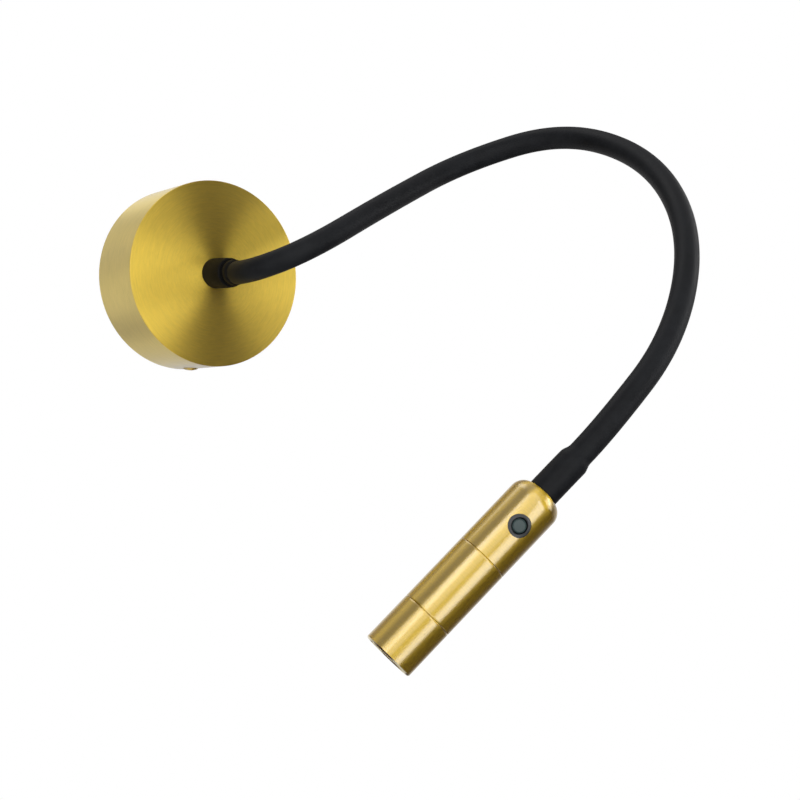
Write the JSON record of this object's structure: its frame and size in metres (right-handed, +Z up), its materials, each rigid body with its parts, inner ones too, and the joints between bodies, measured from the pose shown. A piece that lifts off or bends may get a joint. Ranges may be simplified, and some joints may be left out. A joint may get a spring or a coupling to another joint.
{
  "type": "wall reading lamp",
  "caption": "Wall reading lamp: a round brass rose, a flexible black rubber-sleeved arm that holds its shape, and a slim brass head with a push button by its rear end.",
  "frame": {"origin": "centre of the wall plate's back face, on the wall", "axes": "+Y into the wall, -Y out of the wall, +Z up, +X to the right for someone facing the wall"},
  "size_m": [0.1863, 0.2198, 0.2211],
  "materials": {
    "brushed_brass": "satin brushed",
    "steel": "zinc plated",
    "hose_steel": "spiral wound",
    "black_metal": "matte",
    "black_rubber": "matte",
    "cable_jacket": "matte",
    "wire_insulation": "matte",
    "red_insulation": "matte",
    "case_plastic": "fine grain",
    "board": "solder mask",
    "adhesive_foam": "foam",
    "switch_plastic": "matte",
    "bezel_plastic": "satin",
    "button_plastic": "satin",
    "aluminium": "turned",
    "led_board_white": "white coated",
    "led_phosphor": "gloss",
    "reflector_chrome": "polished",
    "clear_lens": "polished",
    "seal_rubber": "matte"
  },
  "bodies": {
    "rose": {"canopy_cover": "brushed_brass", "cover_screws": "brushed_brass", "wall_plate": "steel", "earth_screw": "steel", "driver_pad": "adhesive_foam", "driver_case": "case_plastic", "driver_lid": "case_plastic", "driver_board": "board", "terminal_block": "case_plastic", "terminal_screws": "steel", "supply_wires": "wire_insulation", "gland_collar": "black_metal", "gland_washer": "steel", "gland_nut": "steel", "base_ferrule": "black_metal", "sleeve_1": "black_rubber", "hose_1": "hose_steel", "lead_1": "cable_jacket"},
    "arm_2": {"sleeve_2": "black_rubber", "hose_2": "hose_steel", "lead_2": "cable_jacket"},
    "arm_3": {"sleeve_3": "black_rubber", "hose_3": "hose_steel", "lead_3": "cable_jacket"},
    "arm_4": {"sleeve_4": "black_rubber", "hose_4": "hose_steel", "lead_4": "cable_jacket"},
    "arm_5": {"sleeve_5": "black_rubber", "hose_5": "hose_steel", "lead_5": "cable_jacket"},
    "arm_6": {"sleeve_6": "black_rubber", "hose_6": "hose_steel", "lead_6": "cable_jacket"},
    "arm_7": {"sleeve_7": "black_rubber", "hose_7": "hose_steel", "lead_7": "cable_jacket"},
    "arm_8": {"sleeve_8": "black_rubber", "hose_8": "hose_steel", "lead_8": "cable_jacket"},
    "head": {"sleeve_9": "black_rubber", "hose_9": "hose_steel", "lead_9": "cable_jacket", "head_ferrule": "steel", "head_nut": "steel", "rear_cap": "brushed_brass", "middle_barrel": "brushed_brass", "front_barrel": "brushed_brass", "switch_body": "switch_plastic", "switch_bezel": "bezel_plastic", "return_dome": "seal_rubber", "heat_sink": "aluminium", "led_board": "led_board_white", "led_chip": "led_phosphor", "reflector": "reflector_chrome", "lens": "clear_lens", "seal_ring": "seal_rubber", "retaining_ring": "black_metal", "led_wires": "red_insulation"},
    "button": {"button_cap": "button_plastic"}
  },
  "joints": [
    {"name": "arm_sway_1", "type": "hinge", "parent": "rose", "child": "arm_2", "pos_m": [0.0085, -0.0741, 0.003], "axis": [-0.6457, -0.6627, -0.3794], "range_deg": [-40, 40]},
    {"name": "arm_bend_2", "type": "hinge", "parent": "arm_2", "child": "arm_3", "pos_m": [0.037, -0.0796, 0.01775], "axis": [-0.4868, -0.1017, 0.8676], "range_deg": [-40, 40]},
    {"name": "arm_sway_3", "type": "hinge", "parent": "arm_3", "child": "arm_4", "pos_m": [0.0815, -0.0691, 0.0415], "axis": [-0.2549, 0.9662, 0.0373], "range_deg": [-40, 40]},
    {"name": "arm_bend_4", "type": "hinge", "parent": "arm_4", "child": "arm_5", "pos_m": [0.1225, -0.0796, 0.0595], "axis": [0.503, 0.1969, -0.8416], "range_deg": [-40, 40]},
    {"name": "arm_sway_5", "type": "hinge", "parent": "arm_5", "child": "arm_6", "pos_m": [0.141, -0.1221, 0.05625], "axis": [0.7748, -0.1582, 0.6121], "range_deg": [-40, 40]},
    {"name": "arm_bend_6", "type": "hinge", "parent": "arm_6", "child": "arm_7", "pos_m": [0.1355, -0.1691, 0.029], "axis": [-0.7112, -0.2936, 0.6388], "range_deg": [-40, 40]},
    {"name": "arm_sway_7", "type": "hinge", "parent": "arm_7", "child": "arm_8", "pos_m": [0.1125, -0.2021, -0.01125], "axis": [0.5455, -0.8351, 0.0704], "range_deg": [-40, 40]},
    {"name": "arm_bend_8", "type": "hinge", "parent": "arm_8", "child": "head", "pos_m": [0.0785, -0.2146, -0.051], "axis": [-0.6747, -0.1702, 0.7182], "range_deg": [-40, 40]},
    {"name": "button_press", "type": "slide", "parent": "head", "child": "button", "axis": [0.3999, 0.9166, 0], "range_m": [0, 0.0007], "stiffness_N_per_m": 800, "springref_m": -0.0006, "deforming": ["return_dome"]}
  ]
}
